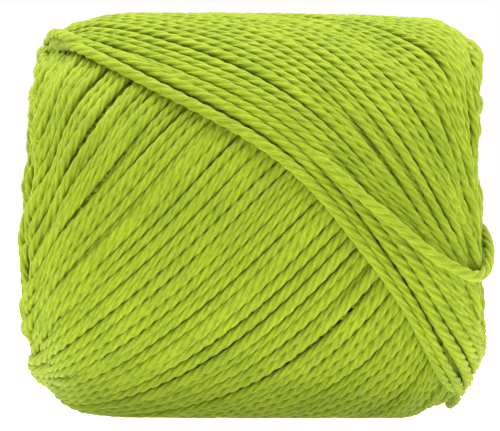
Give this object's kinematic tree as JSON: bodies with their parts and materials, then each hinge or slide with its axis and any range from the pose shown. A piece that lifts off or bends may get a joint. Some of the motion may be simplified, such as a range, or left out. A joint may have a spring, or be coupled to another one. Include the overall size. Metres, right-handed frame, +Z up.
{
  "type": "skein of cotton yarn",
  "caption": "Barrel-shaped centre-pull ball of four-ply worsted cotton yarn, wound in slanting crossed layers, lying on its side with its outer end tucked in",
  "frame": {"origin": "on the surface it rests on, under the middle of the wound ball", "axes": "+Z up, +X along the winding axis towards the end that the loose end is tucked into, -Y towards the side where the last turn shows"},
  "size_m": [0.1062, 0.0974, 0.0907],
  "materials": {
    "wound_yarn": "matte",
    "end_yarn": "matte"
  },
  "bodies": {
    "root": {"wound_ball": "wound_yarn", "loose_end": "end_yarn"}
  },
  "joints": []
}
